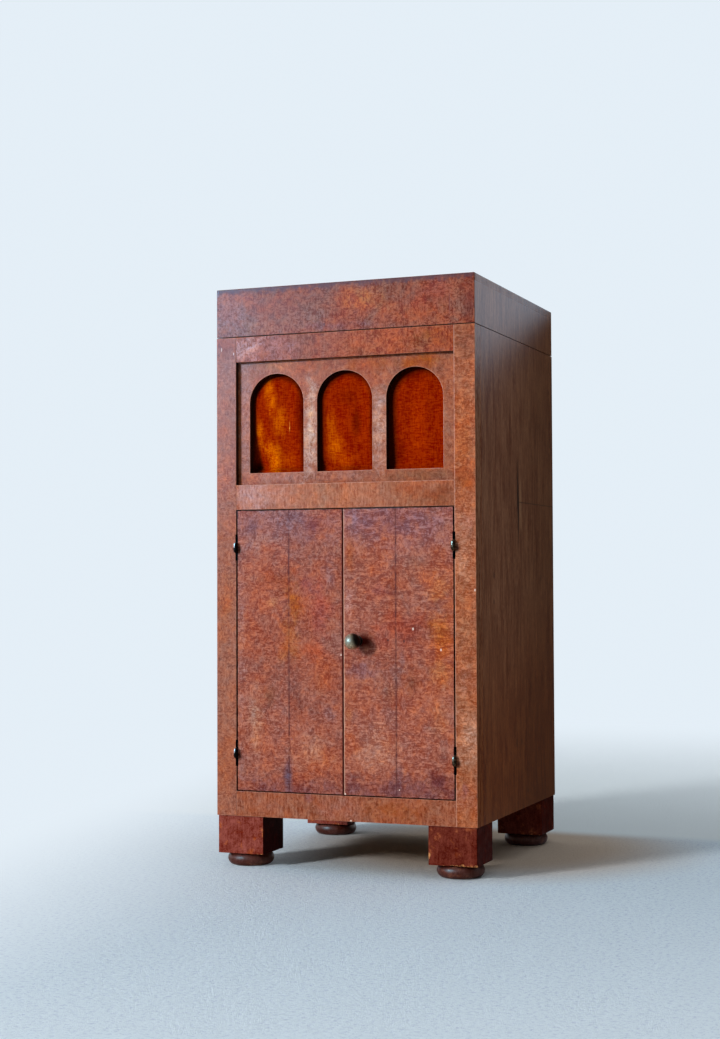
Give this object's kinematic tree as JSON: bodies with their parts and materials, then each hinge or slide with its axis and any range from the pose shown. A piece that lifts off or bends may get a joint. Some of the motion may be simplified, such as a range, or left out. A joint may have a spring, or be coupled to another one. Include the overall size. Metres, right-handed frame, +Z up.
{
  "type": "small floor-standing display cabinet",
  "caption": "Small floor-standing veneered display cabinet with a lift-up lid, round-headed arches backed with velvet and a two-door cupboard on block and bun feet.",
  "frame": {"origin": "on the floor, in the middle of the overall width and depth, knob and lid hinges included", "axes": "+Z up, doors and arches towards -Y, +X to the right seen from the front"},
  "size_m": [0.42, 0.4618, 0.888],
  "materials": {
    "veneer_front": "burr veneer, red-brown, aged satin polish",
    "veneer_door": "burr veneer, darker red-brown, aged satin polish",
    "veneer_lid": "burr veneer, aged satin polish",
    "veneer_side": "straight-grained veneer, dark brown, aged polish",
    "mahogany": "stained mahogany, worn",
    "carcass_wood": "plain beech, waxed",
    "plywood": "stained plywood",
    "velvet": "rust-coloured cotton velvet",
    "felt": "green felt",
    "aged_brass": "aged brass",
    "steel": "dull steel"
  },
  "bodies": {
    "case": {"front_stile_left": "veneer_front", "side_left": "veneer_side", "front_stile_right": "veneer_front", "side_right": "veneer_side", "bottom_rail": "veneer_front", "middle_rail": "veneer_front", "top_rail": "veneer_front", "back_top_rail": "carcass_wood", "back_panel": "plywood", "back_panel_screws": "steel", "bottom_board": "carcass_wood", "cupboard_ceiling": "carcass_wood", "cupboard_shelf": "carcass_wood", "deck_board": "carcass_wood", "shelf_cleats": "carcass_wood", "deck_cleats": "carcass_wood", "inner_board_screws": "steel", "arch_panel": "veneer_front", "velvet_backing": "velvet", "velvet_frame": "carcass_wood", "velvet_frame_screws": "steel", "foot_block_front_left": "mahogany", "foot_bun_front_left": "mahogany", "foot_block_back_left": "mahogany", "foot_bun_back_left": "mahogany", "foot_block_front_right": "mahogany", "foot_bun_front_right": "mahogany", "foot_block_back_right": "mahogany", "foot_bun_back_right": "mahogany", "corner_blocks": "carcass_wood", "foot_screws": "steel", "frame_hinges": "aged_brass", "door_stop_strip": "carcass_wood", "bolt_keepers": "aged_brass", "lid_hinge_case_leaves": "aged_brass", "lid_hinge_pins": "steel", "stay_guide": "aged_brass", "case_hardware_screws": "steel", "lid_buffers": "felt"},
    "lid": {"lid_top": "veneer_lid", "lid_front": "veneer_lid", "lid_back": "veneer_lid", "lid_left": "veneer_side", "lid_right": "veneer_side", "lid_hinge_lid_leaves": "aged_brass", "lid_stay": "aged_brass", "lid_hardware_screws": "steel"},
    "left_door": {"door_left": "veneer_door", "door_hinges_left": "aged_brass", "bolt_plates": "aged_brass", "bolt_plate_screws": "steel"},
    "upper_bolt": {"door_bolt_upper": "aged_brass"},
    "lower_bolt": {"door_bolt_lower": "aged_brass"},
    "right_door": {"door_right": "veneer_door", "door_hinges_right": "aged_brass", "knob_bush": "aged_brass"},
    "knob": {"door_knob": "aged_brass", "knob_spindle": "steel", "latch_tongue": "aged_brass", "latch_nut": "steel"}
  },
  "joints": [
    {"name": "lid_hinge", "type": "hinge", "parent": "case", "child": "lid", "pos_m": [0, 0.22775, 0.8131], "axis": [-1, 0, 0], "range_deg": [0, 72]},
    {"name": "left_door_hinge", "type": "hinge", "parent": "case", "child": "left_door", "pos_m": [-0.1761, -0.19975, 0.33075], "axis": [0, 0, -1], "range_deg": [0, 110]},
    {"name": "right_door_hinge", "type": "hinge", "parent": "case", "child": "right_door", "pos_m": [0.1761, -0.19975, 0.33075], "axis": [0, 0, 1], "range_deg": [0, 110]},
    {"name": "upper_bolt_slide", "type": "slide", "parent": "left_door", "child": "upper_bolt", "axis": [0, 0, 1], "range_m": [0, 0.009]},
    {"name": "lower_bolt_slide", "type": "slide", "parent": "left_door", "child": "lower_bolt", "axis": [0, 0, -1], "range_m": [0, 0.009]},
    {"name": "knob_turn", "type": "hinge", "parent": "right_door", "child": "knob", "pos_m": [0.0245, -0.19595, 0.3465], "axis": [0, 1, 0], "range_deg": [0, 90]}
  ]
}
